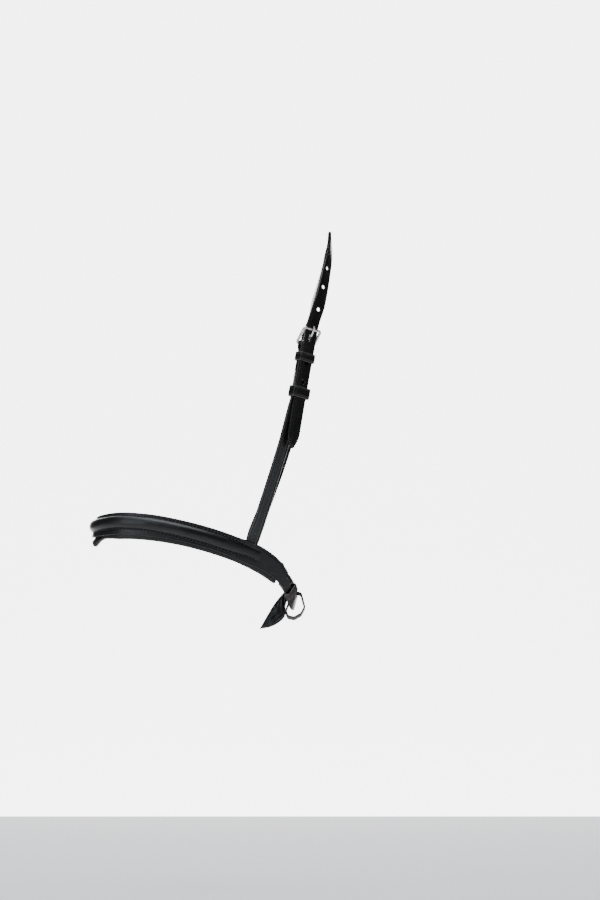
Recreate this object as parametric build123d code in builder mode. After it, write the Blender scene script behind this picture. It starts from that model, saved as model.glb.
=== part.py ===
from build123d import *
from math import acos, atan2, cos, degrees, radians, sin, sqrt
import os

# Raised, padded noseband on its sliphead, hung by the fold of its crown.
# Millimetres. The origin is the top of the crown fold, on the middle plane.
# +X points to the jaw side, -X to the nose, +Z up, and -Y is the near side.

# ---- straps ----
strap_width = 13.0
sliphead_width = 14.4
strap_thick = 2.6
hole_diameter = 4.0
hole_pitch = 25.4
layer_gap = 0.1

# ---- noseband ----
band_depth = 216.0
band_half_width = 62.0
nose_radius = 52.0
jaw_radius = 34.0
band_tilt = 14.0
band_centre = Vector(-133.2, 0, -322.2)
cover_thick = 1.4
base_thick = 1.75
pad_thick = 4.7
roll_rise = 5.0
roll_width = 13.2
roll_margin = 3.4
roll_core_wall = 1.3
roll_near_end = 60.0
roll_off_end = 4.0
roll_fade = 40.0
near_band_end = 94.0
off_band_end = 62.0
pad_near_end = 86.5
pad_off_end = 54.0

# ---- crown and sliphead ----
crown_inner = 0.25
crown_thick = 1.4
crown_drop = crown_inner + crown_thick

# ---- cheek strap and its buckle ----
heel_bar = Vector(-25.9, -42, -116.9)
cheek_lean = 10.5
cheek_inward = 6.6
cheek_turn = 35.0
cheek_low_slope = 17.5
cheek_straight = 50.0
chape_length = 28.0
billet_shift = 1.3
billet_top = 22.0
tail_length = 106.0
seat_at = 52.5
seat_depth = 15.0

# ---- buckles ----
wire_radius = 1.4
bar_room = wire_radius + 0.1
billet_rise = bar_room + strap_thick + 0.2
frame_length = 18.0
frame_margin = 0.3
frame_corner = 2.6
frame_half = sliphead_width / 2 + billet_shift + frame_margin + wire_radius
jaw_frame_margin = 1.1
jaw_frame_half = strap_width / 2 + jaw_frame_margin + wire_radius
tongue_radius = 1.0
tongue_eye = 2.6
tongue_eye_width = 2.2
slot_width = 3.6
tongue_hole = (7.0, 3.8)

# ---- keepers ----
fixed_keeper = (9.0, 1.6)
runner_keeper = (11.0, 2.0)
edge_keeper = (8.0, 1.6)
tail_keeper = (8.0, 1.5)
fixed_keeper_at = -17.5
runner_keeper_at = -54.5
runner_clearance = 1.0
sewn_clearance = 0.25

# ---- jaw strap, chin pad and loop ----
jaw_near_start = 90.5
jaw_tail_end = 18.0
jaw_near_offset = -4.6
jaw_off_offset = 4.3
chape_thick = 2.0
off_curve_room = 0.5
loop_width = 6.5
loop_thick = 1.6
loop_pitch = 30.0
pad_leaf_thick = 5.0
leaf_wall = 1.0
leaf_length = 47.5


def unit(vector):
    return vector * (1 / vector.length)


def ease(share):
    share = min(1, max(0, share))
    return share * share * (3 - 2 * share)


# ---- the plan oval of the noseband: nose arc, two side arcs and jaw arc, all tangent ----
nose_centre = nose_radius - band_depth / 2
jaw_centre = band_depth / 2 - jaw_radius


def side_spans(radius):
    to_nose = sqrt((band_half_width - nose_radius) * (2 * radius - nose_radius - band_half_width))
    to_jaw = sqrt((band_half_width - jaw_radius) * (2 * radius - jaw_radius - band_half_width))
    return to_nose, to_jaw


shortest = band_half_width
longest = 4 * band_depth
for _ in range(60):
    side_radius = (shortest + longest) / 2
    if sum(side_spans(side_radius)) > jaw_centre - nose_centre:
        longest = side_radius
    else:
        shortest = side_radius
side_centre = nose_centre + side_spans(side_radius)[0]
side_reach = side_radius - band_half_width
nose_junction = degrees(atan2(side_reach, nose_centre - side_centre))
jaw_junction = degrees(atan2(side_reach, jaw_centre - side_centre))


def oval_point(angle, offset=0.0):
    # angle of the outward normal: 0 at the jaw, 90 on the off side, 180 at the nose, -90 near side
    turn = abs(angle)
    centre, height, radius = side_centre, -side_reach, side_radius
    if turn > nose_junction:
        centre, height, radius = nose_centre, 0, nose_radius
    if turn < jaw_junction:
        centre, height, radius = jaw_centre, 0, jaw_radius
    along = centre + (radius + offset) * cos(radians(turn))
    across = height + (radius + offset) * sin(radians(turn))
    return along, across if angle >= 0 else -across


def oval_angle(along):
    for centre, radius, low, high in (
        (jaw_centre, jaw_radius, 0, jaw_junction),
        (side_centre, side_radius, jaw_junction, nose_junction),
        (nose_centre, nose_radius, nose_junction, 180),
    ):
        angle = degrees(acos(max(-1, min(1, (along - centre) / radius))))
        if low - 0.01 <= angle <= high + 0.01:
            return angle
    return 180.0


jaw_run = jaw_radius * radians(jaw_junction)
side_run = side_radius * radians(nose_junction - jaw_junction)
nose_run = nose_radius * radians(180 - nose_junction)
half_run = jaw_run + side_run + nose_run


def turn_after(distance):
    # how far the outward normal has turned after a distance along the outline from the jaw
    if distance > half_run:
        return 360 - turn_after(2 * half_run - distance)
    if distance > jaw_run + side_run:
        return nose_junction + degrees((distance - jaw_run - side_run) / nose_radius)
    if distance > jaw_run:
        return jaw_junction + degrees((distance - jaw_run) / side_radius)
    return degrees(distance / jaw_radius)


def distance_at(along):
    turn = oval_angle(along)
    if turn > nose_junction:
        return jaw_run + side_run + nose_radius * radians(turn - nose_junction)
    if turn > jaw_junction:
        return jaw_run + side_radius * radians(turn - jaw_junction)
    return jaw_radius * radians(turn)


tilt_cos = cos(radians(band_tilt))
tilt_sin = sin(radians(band_tilt))
along_axis = Vector(tilt_cos, 0, -tilt_sin)
up_axis = Vector(tilt_sin, 0, tilt_cos)
across_axis = Vector(0, 1, 0)
plan_plane = Plane(origin=band_centre, x_dir=along_axis, z_dir=up_axis)
front_plane = Plane(origin=band_centre, x_dir=along_axis, z_dir=(0, -1, 0))
plan_reach = 70.0
side_room = band_half_width + 20


def band_vector(along, across, up):
    return along_axis * along + across_axis * across + up_axis * up


def band_spot(angle, offset, up, drop=0.0):
    # a plane on the band: z outward, y along the strap towards the jaw, x across it
    along, across = oval_point(angle, offset)
    outward = band_vector(cos(radians(angle)), sin(radians(angle)), 0)
    side = 1 if angle >= 0 else -1
    level = band_vector(sin(radians(angle)), -cos(radians(angle)), 0) * side
    run = level * cos(radians(drop)) - up_axis * sin(radians(drop))
    return Plane(origin=band_centre + band_vector(along, across, up), x_dir=run.cross(outward), z_dir=outward)


# ---- edges of the noseband, seen from the side (along the band, up) ----
top_edge = Spline((-118, 1), (-106, 8.5), (-94, 14.2), (-63, 21.6), (-20, 24.7), (35, 21.8), (69, 15.7),
                  (88, 5.2), (97, -4.5))
low_edge = Spline((-118, -19), (-107, -14), (-89, -7), (-50, 1), (0, 3.6), (27, 1.9), (54, -2.6),
                  (71, -5.6), (82, -10), (97, -19.5))
pad_low_edge = Spline((-98, -14), (-89, -10.5), (-73, -6.6), (-25, -0.8), (8, -0.8), (50, -5.7),
                      (pad_near_end + 4, -16))
jaw_top_edge = Spline((jaw_tail_end - 10, 19.5), (40, 17.5), (60, 13), (75, 7.5), (88, 1.2), (98, -7.5),
                      (105, -17.8), (109, -25))
jaw_low_edge = Spline((jaw_tail_end - 10, 6.5), (40, 4.5), (60, -0.5), (72, -4.8), (85, -11.5),
                      (93.5, -17.2), (101, -24.5), (104.8, -31), (109, -38.5))


def height_at(curve, along):
    low, high = 0.0, 1.0
    for _ in range(40):
        middle = (low + high) / 2
        if (curve @ middle).X < along:
            low = middle
        else:
            high = middle
    return (curve @ low).Y


def oval_face(offset, mode=Mode.ADD):
    side = side_radius + offset
    span = nose_junction - jaw_junction
    with BuildLine() as rim:
        CenterArc((nose_centre, 0), nose_radius + offset, nose_junction, 360 - 2 * nose_junction)
        CenterArc((side_centre, -side_reach), side, jaw_junction, span)
        CenterArc((jaw_centre, 0), jaw_radius + offset, -jaw_junction, 2 * jaw_junction)
        CenterArc((side_centre, side_reach), side, -nose_junction, span)
    make_face(rim.edges(), mode=mode)


def band_ring(outer, inner):
    with BuildSketch(plan_plane.offset(-plan_reach)) as ring:
        oval_face(outer)
        oval_face(inner, Mode.SUBTRACT)
    extrude(ring.sketch, amount=2 * plan_reach)


def between(upper, lower):
    with BuildLine() as rim:
        add(upper)
        add(lower)
        Line(upper @ 0, lower @ 0)
        Line(upper @ 1, lower @ 1)
    make_face(rim.edges())


def trim_end(start, side):
    # cuts away everything on one side of the middle plane that is nearer the jaw than start
    with BuildSketch(plan_plane.offset(-plan_reach)) as waste:
        with BuildLine():
            Polyline((start, 0), (start, side * side_room), (side_room + 100, side * side_room),
                     (side_room + 100, 0), close=True)
        make_face()
    extrude(waste.sketch, amount=2 * plan_reach, mode=Mode.SUBTRACT)


def roll_sections(width, bottom, top):
    # half ellipses across the band, from the near end round the nose to the off end
    first = distance_at(roll_near_end)
    last = 2 * half_run - distance_at(roll_off_end)
    count = 27
    sections = []
    for step in range(count):
        distance = first + (last - first) * step / (count - 1)
        turn = turn_after(distance)
        angle = -turn if turn <= 180 else 360 - turn
        along = oval_point(angle)[0]
        fade = ease(min(distance - first, last - distance) / roll_fade)
        crest = top * (0.3 + 0.7 * fade)
        middle = height_at(top_edge, along) - roll_margin - roll_width / 2
        spot = band_spot(angle, bottom, middle)
        with BuildSketch(Plane(origin=spot.origin, x_dir=up_axis, z_dir=up_axis.cross(spot.z_dir))) as section:
            half = width / 2 * (0.7 + 0.3 * fade)
            with BuildLine():
                EllipticalCenterArc((0, 0), half, crest - bottom, arc_size=180)
                Line((half, 0), (-half, 0))
            make_face()
        sections.append(section.sketch)
    return sections


def strap_plane(place, heading, facing):
    # a plane across a strap: x across the width, y through the thickness
    outward = unit(facing - heading * facing.dot(heading))
    return Plane(origin=place, x_dir=outward.cross(heading), z_dir=heading)


def keeper_on(plane, start, length, wall, width_range, height_range, clearance):
    middle = sum(width_range) / 2
    centre = plane.origin + plane.y_dir * start + plane.x_dir * middle + plane.z_dir * sum(height_range) / 2
    inner_width = width_range[1] - width_range[0] + 2 * clearance
    inner_height = height_range[1] - height_range[0] + 2 * clearance
    with BuildSketch(Plane(origin=centre, x_dir=plane.x_dir, z_dir=plane.y_dir)) as wrap:
        RectangleRounded(inner_width + 2 * wall, inner_height + 2 * wall, wall + 0.6)
        RectangleRounded(inner_width, inner_height, 0.6, mode=Mode.SUBTRACT)
    extrude(wrap.sketch, amount=length)


def buckle_frame(plane, rise, half):
    lean = degrees(atan2(rise, sqrt(frame_length ** 2 - rise ** 2)))
    face = Plane(origin=plane.origin, x_dir=plane.x_dir,
                 z_dir=plane.z_dir.rotate(Axis((0, 0, 0), plane.x_dir), lean))
    with BuildLine(face) as loop:
        FilletPolyline((half, 0), (half, frame_length), (-half, frame_length), (-half, 0),
                       radius=frame_corner, close=True)
    start = loop.wires()[0]
    with BuildSketch(Plane(origin=start @ 0, z_dir=start % 0)) as wire:
        Circle(wire_radius)
    sweep(wire.sketch, path=start)


def buckle_tongue(plane, rise, crossing):
    across = Plane(origin=plane.origin - plane.x_dir * tongue_eye_width / 2, x_dir=plane.y_dir,
                   z_dir=plane.x_dir)
    with BuildSketch(across) as eye:
        Circle(tongue_eye)
    extrude(eye.sketch, amount=tongue_eye_width)
    middle = Plane(origin=plane.origin, x_dir=plane.y_dir, z_dir=plane.x_dir)
    front = sqrt(frame_length ** 2 - rise ** 2)
    over = rise + wire_radius + tongue_radius + 0.45
    with BuildLine(middle) as shank:
        FilletPolyline((0.3, 1.5), (5.4, 2.05), (9.0, crossing + 1.5), (front + 0.4, over),
                       (front + 2.8, over - 0.6), radius=(1.2, 1.2, 2.0))
    path = shank.wires()[0]
    with BuildSketch(Plane(origin=path @ 0, z_dir=path % 0)) as round_bar:
        Circle(tongue_radius)
    sweep(round_bar.sketch, path=path)
    with BuildSketch(across.offset(-1)) as bore:
        Circle(wire_radius + 0.2)
    extrude(bore.sketch, amount=tongue_eye_width + 2, mode=Mode.SUBTRACT)


def strap_eye(plane, inner, thick, front_run, back_run, back_lift):
    # a strap end turned round the heel bar, with the slot that the tongue stands in;
    # the return layer closes up behind the front one by back_lift
    closing = 1 + 2.5 * back_lift
    edge_on = Plane(origin=plane.origin - plane.x_dir * strap_width / 2, x_dir=plane.y_dir,
                    z_dir=plane.x_dir)
    with BuildSketch(edge_on) as turn:
        with BuildLine():
            Line((-front_run, inner), (0, inner))
            CenterArc((0, 0), inner, 90, -180)
            Polyline((0, -inner), (-closing, back_lift - inner), (-back_run, back_lift - inner),
                     (-back_run, back_lift - inner - thick), (-closing, back_lift - inner - thick),
                     (0, -inner - thick))
            CenterArc((0, 0), inner + thick, -90, 180)
            Line((0, inner + thick), (-front_run, inner + thick))
            Line((-front_run, inner + thick), (-front_run, inner))
        make_face()
    extrude(turn.sketch, amount=strap_width)
    slot = Plane(origin=plane.origin - plane.z_dir * (inner + thick + 1), x_dir=plane.x_dir,
                 z_dir=plane.z_dir)
    with BuildSketch(slot) as gap:
        with Locations((0, 1)):
            SlotOverall(2 * (inner + thick) + 5, slot_width, rotation=90)
    extrude(gap.sketch, amount=2 * (inner + thick + 1), mode=Mode.SUBTRACT)


# ---- the buckle plane on the near cheek: x across, y up the strap, z outward ----
cheek_up = unit(Vector(sin(radians(cheek_lean)), sin(radians(cheek_inward)), cos(radians(cheek_lean))))
cheek_facing = Vector(sin(radians(cheek_turn)), -cos(radians(cheek_turn)), 0)
cheek_out = unit(cheek_facing - cheek_up * cheek_facing.dot(cheek_up))
cheek_plane = Plane(origin=heel_bar, x_dir=cheek_up.cross(cheek_out), z_dir=cheek_out)
cheek_rise = billet_rise + strap_thick + wire_radius + 0.25


def cheek_place(across, up, out):
    return heel_bar + cheek_plane.x_dir * across + cheek_plane.y_dir * up + cheek_plane.z_dir * out


# ---- where the cheek straps are sewn in, between the base strap and the pad ----
seat_angle = oval_angle(seat_at)
seat_offset = -cover_thick - base_thick - layer_gap - strap_thick / 2
seat_slope = cheek_low_slope - band_tilt


def seat_blank(grow=0.0, mode=Mode.INTERSECT):
    top = height_at(top_edge, seat_at)
    with BuildSketch(front_plane) as blank:
        with Locations((seat_at, top)):
            Rectangle(strap_width * 0.93 + 2 * grow, 2 * (seat_depth + grow), rotation=-seat_slope)
    extrude(blank.sketch, amount=side_room, both=True, mode=mode)


def seat_place(side):
    top = height_at(top_edge, seat_at)
    along, across = oval_point(side * seat_angle, seat_offset)
    facing = band_vector(cos(radians(seat_angle)), side * sin(radians(seat_angle)), 0)
    return band_centre + band_vector(seat_at, across, top), facing


def seat_piece(side):
    # the part of a cheek strap that is sewn under the band, bent as the band is
    with BuildPart() as piece:
        band_ring(seat_offset + strap_thick / 2, seat_offset - strap_thick / 2)
        seat_blank()
        trim = Plane(origin=band_centre, z_dir=(0, -side, 0))
        with BuildSketch(trim) as far_side:
            Rectangle(800, 800)
        extrude(far_side.sketch, amount=side_room, mode=Mode.SUBTRACT)
        with BuildSketch(plan_plane.offset(height_at(top_edge, seat_at) + 0.5)) as above:
            Rectangle(400, 400)
        extrude(above.sketch, amount=60, mode=Mode.SUBTRACT)
    return piece.part


# ==== noseband ====
with BuildPart() as nose_cover:
    band_ring(0, -cover_thick)
    with BuildSketch(front_plane):
        between(top_edge, low_edge)
    extrude(amount=side_room, both=True, mode=Mode.INTERSECT)
    trim_end(near_band_end, -1)
    trim_end(off_band_end, 1)
    loft(roll_sections(roll_width, -cover_thick + 0.3, roll_rise))
    loft(roll_sections(roll_width - 2 * roll_core_wall + 0.2, -cover_thick - 0.05, roll_rise - roll_core_wall + 0.1),
         mode=Mode.SUBTRACT)

with BuildPart() as nose_roll_core:
    loft(roll_sections(roll_width - 2 * roll_core_wall, -cover_thick + 0.05, roll_rise - roll_core_wall))

with BuildPart() as nose_base_strap:
    band_ring(-cover_thick - 0.05, -cover_thick - base_thick)
    with BuildSketch(front_plane):
        between(top_edge, low_edge)
    extrude(amount=side_room, both=True, mode=Mode.INTERSECT)
    trim_end(near_band_end, -1)
    trim_end(off_band_end, 1)

pad_top = -cover_thick - base_thick - 0.1
pocket_room = 0.3
pad_wall = 0.8


def pad_shape(outer, inner, inset):
    band_ring(outer, inner)
    with BuildSketch(front_plane) as outline:
        with BuildLine():
            Polyline((-118, 4 - inset), (-98, 9 - inset), (-80, 15 - inset))
            Spline((-80, 15 - inset), (-50, 20.5 - inset), (0, 22.8 - inset), (35, 20 - inset),
                   (69, 13.5 - inset), (pad_near_end - inset, 5.5 - inset))
            Line((pad_near_end - inset, 5.5 - inset), (pad_near_end - inset, -15 + inset))
            Spline((pad_near_end - inset, -15 + inset), (50, -4.9 + inset), (8, -0.6 + inset),
                   (-25, -0.8 + inset), (-73, -6.8 + inset), (-96, -12.5 + inset))
            Polyline((-96, -12.5 + inset), (-102, -23 + 1.6 * inset), (-118, -19 + inset), (-118, 4 - inset))
        make_face()
    extrude(outline.sketch, amount=side_room, both=True, mode=Mode.INTERSECT)
    trim_end(pad_off_end - inset, 1)


def strap_pockets(room):
    with BuildPart() as pocket:
        band_ring(0, seat_offset - strap_thick / 2 - room)
        seat_blank(room)
    return pocket.part


cover_pockets = strap_pockets(pocket_room)
hollow_pockets = strap_pockets(pocket_room + pad_wall)
foam_pockets = strap_pockets(pocket_room + pad_wall + 0.05)

with BuildPart() as pad_hollow:
    pad_shape(pad_top - pad_wall, pad_top - pad_thick + pad_wall, pad_wall)
    add(hollow_pockets, mode=Mode.SUBTRACT)

with BuildPart() as nose_pad_cover:
    pad_shape(pad_top, pad_top - pad_thick, 0)
    add(cover_pockets, mode=Mode.SUBTRACT)
    add(pad_hollow.part, mode=Mode.SUBTRACT)

with BuildPart() as nose_pad_foam:
    pad_shape(pad_top - pad_wall - 0.05, pad_top - pad_thick + pad_wall + 0.05, pad_wall + 0.05)
    add(foam_pockets, mode=Mode.SUBTRACT)

# ==== cheek strap: eye and straight run, then a gentle bend down to the seat in the band ====
seat_near, seat_near_facing = seat_place(-1)
seat_off, seat_off_facing = seat_place(1)
run_end = cheek_place(0, -cheek_straight, bar_room + strap_thick / 2)
low_heading = unit(Vector(sin(radians(cheek_low_slope)), 0.02, cos(radians(cheek_low_slope))))


def run_through(places, headings, facings, widths, sizes):
    sections = []
    for place, heading, facing, width, size in zip(places, headings, facings, widths, sizes):
        with BuildSketch(strap_plane(place, heading, facing)) as section:
            Rectangle(width, size)
        sections.append(section.sketch)
    loft(sections)


def headings_along(places, first, last):
    headings = [first]
    for before, after in zip(places[:-2], places[2:]):
        headings.append(unit(before - after))
    return headings + [last]


def turned(share, start, end):
    return start * (1 - share) + end * share


cheek_places = [run_end, Vector(-36.7, -51.4, -177), Vector(-46.7, -53.2, -214.6), Vector(-59, -52.6, -254.6),
                Vector(-71.8, -49.2, -294.6), seat_near]
cheek_facings = [turned(ease(share), cheek_out, seat_near_facing) for share in (0, 0, 0, 0.2, 0.75, 1)]

near_seat_piece = seat_piece(-1)
off_seat_piece = seat_piece(1)

with BuildPart() as cheek_strap:
    strap_eye(cheek_plane, bar_room, strap_thick, cheek_straight, chape_length, 2 * bar_room - layer_gap)
    run_through(cheek_places, headings_along(cheek_places, cheek_up, low_heading), cheek_facings,
                [strap_width] * len(cheek_places), [strap_thick] * len(cheek_places))
    add(near_seat_piece)

# ==== sliphead: billet through the buckle, near leg, crown fold and off leg ====
billet_middle = billet_rise + strap_thick / 2
billet_start = cheek_place(billet_shift, billet_top, billet_middle)
billet_plane = Plane(origin=cheek_place(billet_shift, 0, billet_rise), x_dir=cheek_plane.x_dir,
                     z_dir=cheek_plane.z_dir)
hole_up = 7.2
tip_length = 17.0


def lean_in(depth, side):
    # how far a leg stands out from the middle plane at a depth below the crown
    share = depth / -billet_start.Z
    slope = -billet_start.Z * sin(radians(cheek_inward))
    reach = -billet_start.Y * share * share * (3 - 2 * share) + slope * (share ** 3 - share ** 2)
    return side * reach


def facing_at(angle):
    return Vector(cos(radians(angle)), sin(radians(angle)), 0)


def skived(depth):
    return crown_thick + (strap_thick - crown_thick) * ease(depth / 26)


# depth below the crown, place along X and direction that the outer face looks to
near_leg = [(crown_drop, crown_inner + crown_thick / 2 + 0.02, 0), (11, 1.3, -6), (21, 0.1, -15),
            (31.5, -1.5, -26), (42, -3.8, -36), (57.7, -7.0, -45), (76, -11.2, -52)]
off_leg = [(crown_drop, -crown_inner - crown_thick / 2 - 0.02, 180), (14, -3.5, 180), (30, -7.2, 180),
           (54, -13.4, 180), (76, -18.9, 180)]
off_low = [(Vector(-20.6, 45.2, -91), 160), (Vector(-22.6, 47.6, -110), 118), (Vector(-27.6, 49.8, -140), 92),
           (Vector(-33.0, 51.2, -171), 80), (Vector(-40.9, 52.0, -203), 72), (Vector(-52.4, 51.6, -240), 68),
           (Vector(-65.2, 49.8, -277), 68)]

near_places = [Vector(x, lean_in(depth, -1), -depth) for depth, x, _ in near_leg] + [billet_start]
near_facings = [facing_at(angle) for _, _, angle in near_leg] + [cheek_out]
near_sizes = [skived(depth) for depth, _, _ in near_leg] + [strap_thick]
off_places = [Vector(x, lean_in(depth, 1), -depth) for depth, x, _ in off_leg]
off_places += [place for place, _ in off_low] + [seat_off]
off_facings = [facing_at(angle) for _, _, angle in off_leg] + [facing_at(angle) for _, angle in off_low]
off_facings += [seat_off_facing]
off_sizes = [skived(depth) for depth, _, _ in off_leg] + [strap_thick] * (len(off_low) + 1)
off_widths = [sliphead_width] * (len(off_places) - 2) + [strap_width] * 2
off_heading = unit(Vector(low_heading.X, -low_heading.Y, low_heading.Z))
straight_up = Vector(0, 0, 1)

with BuildPart() as sliphead_strap:
    with BuildSketch(billet_plane):
        with BuildLine():
            half = sliphead_width / 2
            Line((-half, billet_top), (half, billet_top))
            Line((half, billet_top), (half, tip_length - tail_length))
            ThreePointArc((half, tip_length - tail_length), (half * 0.62, tip_length * 0.42 - tail_length),
                          (0, -tail_length))
            ThreePointArc((0, -tail_length), (-half * 0.62, tip_length * 0.42 - tail_length),
                          (-half, tip_length - tail_length))
            Line((-half, tip_length - tail_length), (-half, billet_top))
        make_face()
    extrude(amount=strap_thick)
    run_through(near_places, headings_along(near_places, straight_up, cheek_up), near_facings,
                [sliphead_width] * len(near_places), near_sizes)
    run_through(off_places, headings_along(off_places, straight_up, off_heading), off_facings, off_widths, off_sizes)
    add(off_seat_piece)
    with BuildSketch(Plane(origin=(0, -sliphead_width / 2, -crown_drop), x_dir=(1, 0, 0), z_dir=(0, 1, 0))):
        Circle(crown_inner + crown_thick)
        Circle(crown_inner, mode=Mode.SUBTRACT)
        with Locations((0, crown_thick + crown_inner)):
            Rectangle(6, 2 * (crown_thick + crown_inner), mode=Mode.SUBTRACT)
    extrude(amount=sliphead_width)
    # used hole, one hole lower down the tail, and three free holes above the buckle
    with BuildSketch(Plane(origin=billet_plane.origin - billet_plane.z_dir, x_dir=billet_plane.x_dir,
                           z_dir=billet_plane.z_dir)):
        with Locations((-billet_shift, hole_up)):
            SlotOverall(*tongue_hole, rotation=90)
        with Locations((0, hole_up - hole_pitch), (0, hole_up - 1.8 * hole_pitch)):
            Circle(hole_diameter / 2)
    extrude(amount=strap_thick + 2, mode=Mode.SUBTRACT)
    for place, facing in ((Vector(-3.0, 0, -38), -32), (Vector(-7.2, 0, -57.7), -45), (Vector(-12.2, 0, -81), -53)):
        centre = Vector(place.X, lean_in(-place.Z, -1), place.Z)
        with BuildSketch(Plane(origin=centre - facing_at(facing) * 8, z_dir=facing_at(facing))):
            Circle(hole_diameter / 2)
        extrude(amount=16, mode=Mode.SUBTRACT)

# ==== near cheek buckle and keepers ====
with BuildPart() as cheek_buckle_frame:
    buckle_frame(cheek_plane, cheek_rise, frame_half)

with BuildPart() as cheek_buckle_tongue:
    buckle_tongue(cheek_plane, cheek_rise, billet_rise + strap_thick)

strap_edges = (-strap_width / 2, sliphead_width / 2 + billet_shift)
stack_front = billet_rise + strap_thick
stack_back = bar_room - layer_gap - strap_thick

with BuildPart() as cheek_fixed_keeper:
    keeper_on(cheek_plane, fixed_keeper_at, fixed_keeper[0], fixed_keeper[1], strap_edges,
              (stack_back, stack_front), sewn_clearance)

with BuildPart() as cheek_runner_keeper:
    keeper_on(cheek_plane, runner_keeper_at, runner_keeper[0], runner_keeper[1], strap_edges,
              (bar_room, stack_front), runner_clearance)

# ==== jaw strap: from the near band end round the jaw to the off cheek ====
def jaw_offset(angle, layer):
    # the strap starts inside the band on the near side and ends outside it on the off side
    share = ease((angle + 52) / 108)
    return jaw_near_offset + (jaw_off_offset - jaw_near_offset) * share + layer


jaw_first = -oval_angle(jaw_near_start)
jaw_last = oval_angle(jaw_tail_end)
jaw_steps = [jaw_first + (jaw_last - jaw_first) * step / 15 for step in range(16)]


def jaw_level_at(along):
    return (height_at(jaw_top_edge, along) + height_at(jaw_low_edge, along)) / 2


def jaw_drop_at(angle, span=8.0):
    # how steeply the jaw strap runs down towards the jaw, in degrees
    here = oval_point(angle - span)[0]
    there = oval_point(angle + span)[0]
    run = radians(2 * span) * (side_radius if abs(angle) > jaw_junction + span else jaw_radius)
    return degrees(atan2(abs(jaw_level_at(here) - jaw_level_at(there)), run))


off_heel_at = off_band_end + 7.5
off_heel_angle = oval_angle(off_heel_at)
off_heel_up = jaw_level_at(off_heel_at) - 0.2
off_drop = jaw_drop_at(off_heel_angle - 2, 3)
off_eye_room = (cover_thick + base_thick + layer_gap + off_curve_room) / 2
off_plane_offset = layer_gap - off_eye_room
off_plane = band_spot(off_heel_angle, off_plane_offset, off_heel_up, off_drop)
off_billet_inner = jaw_off_offset - strap_thick / 2 - off_plane_offset
off_rise = off_billet_inner + strap_thick + wire_radius - 0.1

with BuildPart() as jaw_strap:
    with BuildSketch(plan_plane.offset(-plan_reach)):
        with BuildLine():
            outer = Spline(*[oval_point(angle, jaw_offset(angle, strap_thick / 2)) for angle in jaw_steps])
            inner = Spline(*[oval_point(angle, jaw_offset(angle, -strap_thick / 2)) for angle in jaw_steps])
            Line(outer @ 0, inner @ 0)
            Line(outer @ 1, inner @ 1)
        make_face()
    extrude(amount=2 * plan_reach)
    with BuildSketch(front_plane):
        between(jaw_top_edge, jaw_low_edge)
    extrude(amount=side_room, both=True, mode=Mode.INTERSECT)
    with BuildSketch(Plane(origin=off_plane.origin, x_dir=off_plane.x_dir, z_dir=off_plane.z_dir)):
        with Locations((0, hole_up + 0.4)):
            SlotOverall(tongue_hole[0] + 0.4, tongue_hole[1], rotation=90)
    extrude(amount=20, mode=Mode.SUBTRACT)
    for angle in (oval_angle(42), 34.0):
        with BuildSketch(band_spot(angle, -6, jaw_level_at(oval_point(angle)[0]))):
            Circle(hole_diameter / 2)
        extrude(amount=20, mode=Mode.SUBTRACT)

with BuildPart() as jaw_chape:
    strap_eye(off_plane, off_eye_room, chape_thick, 14, 10, 0)

with BuildPart() as jaw_buckle_frame:
    buckle_frame(off_plane, off_rise, jaw_frame_half)

with BuildPart() as jaw_buckle_tongue:
    buckle_tongue(off_plane, off_rise, off_billet_inner + strap_thick - 0.3)


def band_keeper(place):
    # a keeper sewn flat on the off side of the band, over the end of the jaw strap
    angle = oval_angle(place)
    spot = band_spot(angle, 0, jaw_level_at(place), jaw_drop_at(angle, 2))
    keeper_on(spot, -tail_keeper[0] / 2, tail_keeper[0], tail_keeper[1], (-strap_width / 2, strap_width / 2),
              (tail_keeper[1] + layer_gap + 0.3, jaw_off_offset + strap_thick / 2), 0.4)


with BuildPart() as tail_keeper_front:
    band_keeper(44)

with BuildPart() as tail_keeper_back:
    band_keeper(27)


def jaw_place(angle):
    along, across = oval_point(angle, jaw_offset(angle, 0))
    return band_centre + band_vector(along, across, jaw_level_at(along))


edge_angle = -27.0
edge_run = unit(jaw_place(edge_angle + 6) - jaw_place(edge_angle - 6))
edge_out = band_vector(cos(radians(edge_angle)), sin(radians(edge_angle)), 0)
edge_out = unit(edge_out - edge_run * edge_out.dot(edge_run))
edge_spot = Plane(origin=jaw_place(edge_angle), x_dir=edge_run.cross(edge_out), z_dir=edge_out)

with BuildPart() as jaw_edge_keeper:
    keeper_on(edge_spot, -edge_keeper[0] / 2, edge_keeper[0], edge_keeper[1],
              (-strap_width / 2, strap_width / 2), (-strap_thick / 2, strap_thick / 2), 0.6)

# ==== chin pad, hung on the jaw strap by a loop ====
jaw_bottom = oval_point(0, jaw_offset(0, 0))[0]
jaw_level = jaw_level_at(jaw_bottom)
chin_pivot = band_centre + band_vector(jaw_bottom, 0, jaw_level)
loop_normal = Vector(0, cos(radians(loop_pitch)), -sin(radians(loop_pitch)))
loop_side = unit(Vector(0.92, 0, -0.39))
loop_side = unit(loop_side - loop_normal * loop_side.dot(loop_normal))
loop_plane = Plane(origin=chin_pivot - loop_normal * loop_width / 2, x_dir=loop_side, z_dir=loop_normal)

with BuildPart() as chin_pad_loop:
    with BuildSketch(loop_plane) as band_loop:
        with BuildLine():
            FilletPolyline((-6.0, -12.4), (3.0, -12.2), (12.4, 1.4), (11.4, 10.0), (6.4, 17.4), (-0.8, 18.2),
                           (-5.6, 12.4),
                           radius=2.4, close=True)
        make_face()
        offset(amount=-loop_thick, mode=Mode.SUBTRACT)
    extrude(amount=loop_width)

leaf_top = chin_pivot + Vector(-6.6, -pad_leaf_thick / 2, 11.4)
leaf_plane = Plane(origin=leaf_top, x_dir=(-0.62, 0, -0.785), z_dir=(0, 1, 0))


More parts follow.
